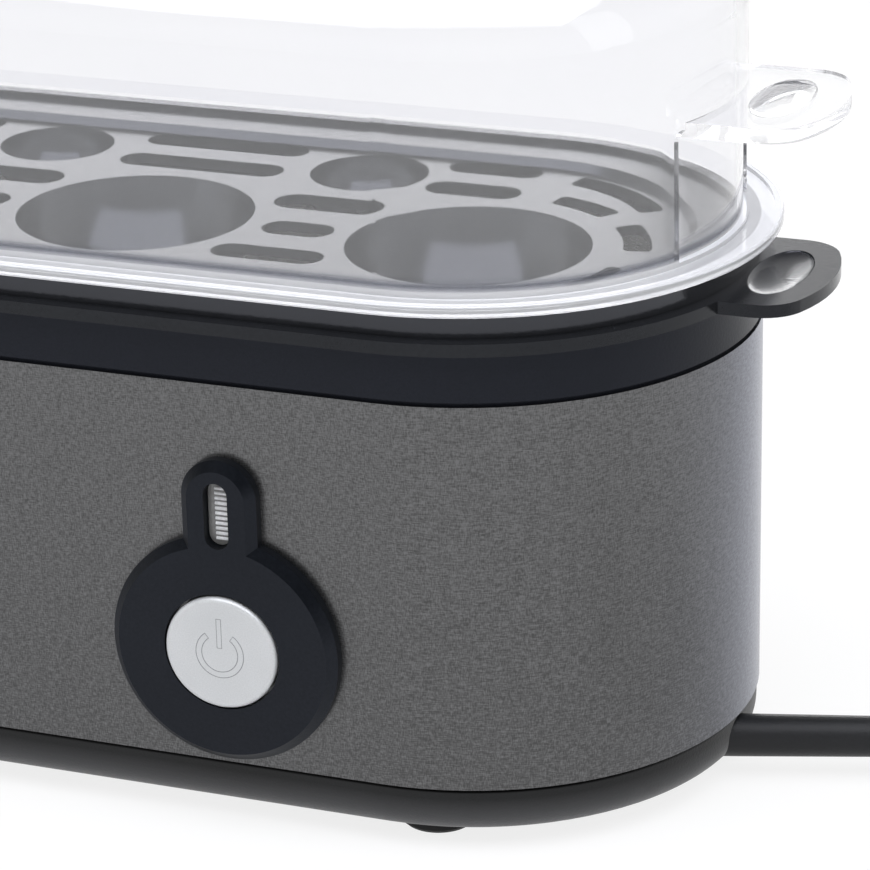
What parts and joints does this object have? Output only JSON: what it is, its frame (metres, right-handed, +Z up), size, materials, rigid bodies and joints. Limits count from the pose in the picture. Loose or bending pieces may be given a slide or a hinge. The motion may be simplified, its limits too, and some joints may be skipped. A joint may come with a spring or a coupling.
{
  "type": "egg cooker",
  "caption": "Long stadium-shaped electric egg cooker: brushed steel housing, black egg tray with handle tabs, clear domed lid, keyhole power control, mains lead.",
  "frame": {"origin": "middle of the housing in plan, on the surface the rubber feet stand on", "axes": "+X along the housing towards the end the mains lead leaves, -Y towards the front with the power button, +Z up"},
  "size_m": [0.4396, 0.1809, 0.155],
  "materials": {
    "lid": "clear moulded plastic, glossy",
    "egg_tray": "black moulded plastic, satin",
    "button_cap": "silver lacquered plastic, satin",
    "base": "black moulded plastic, fine grain",
    "steel_shell": "stainless steel, brushed along its length",
    "collar": "black moulded plastic, satin",
    "water_bowl": "pressed stainless steel",
    "bowl_seal": "moulded silicone",
    "control_plate": "black moulded plastic, semi gloss",
    "lamp_lens": "clear ribbed plastic",
    "cord_gland": "black moulded rubber",
    "cord": "black sheathed mains lead",
    "plug": "black moulded plug",
    "plug_pins": "nickel plated brass",
    "inner_plastic": "unpainted moulded plastic",
    "terminal_block": "white moulded plastic",
    "indicator_lamp": "glass bulb",
    "heater_sheath": "heat-dulled steel tube",
    "thermostat": "aluminium cap on a moulded base",
    "thermal_fuse": "plain metal can",
    "zinc_sheet": "zinc plated sheet",
    "foot": "black moulded rubber",
    "lead": "silicone insulated wire"
  },
  "bodies": {
    "housing": {"base": "base", "foot_front_right": "foot", "foot_front_left": "foot", "foot_back_right": "foot", "foot_back_left": "foot", "steel_shell": "steel_shell", "collar": "collar", "water_bowl": "water_bowl", "bowl_seal": "bowl_seal", "control_plate": "control_plate", "lamp_lens": "lamp_lens", "switch_bracket": "inner_plastic", "switch_body": "inner_plastic", "indicator_lamp": "indicator_lamp", "heating_element": "heater_sheath", "thermostat": "thermostat", "thermal_fuse": "thermal_fuse", "heat_shield": "zinc_sheet", "tie_strap_left": "zinc_sheet", "tie_strap_right": "zinc_sheet", "terminal_block": "terminal_block", "cord_clamp": "inner_plastic", "cord_inner": "cord", "cord_gland": "cord_gland", "lead_live": "lead", "lead_load": "lead", "lead_element": "lead", "lead_fuse": "lead", "lead_neutral": "lead", "lead_lamp_one": "lead", "lead_lamp_two": "lead", "power_cord": "cord", "cord_coil": "cord", "cord_tail": "cord", "plug": "plug", "plug_pins": "plug_pins"},
    "tray": {"egg_tray": "egg_tray"},
    "lid": {"lid": "lid"},
    "button": {"button_cap": "button_cap"}
  },
  "joints": [
    {"name": "tray_lift", "type": "slide", "parent": "housing", "child": "tray", "axis": [0, 0, 1], "range_m": [0, 0.06]},
    {"name": "lid_lift", "type": "slide", "parent": "tray", "child": "lid", "axis": [0, 0, 1], "range_m": [0, 0.08]},
    {"name": "button_press", "type": "slide", "parent": "housing", "child": "button", "axis": [0, 1, 0], "range_m": [0, 0.0025], "stiffness_N_per_m": 300, "springref_m": -0.003}
  ]
}
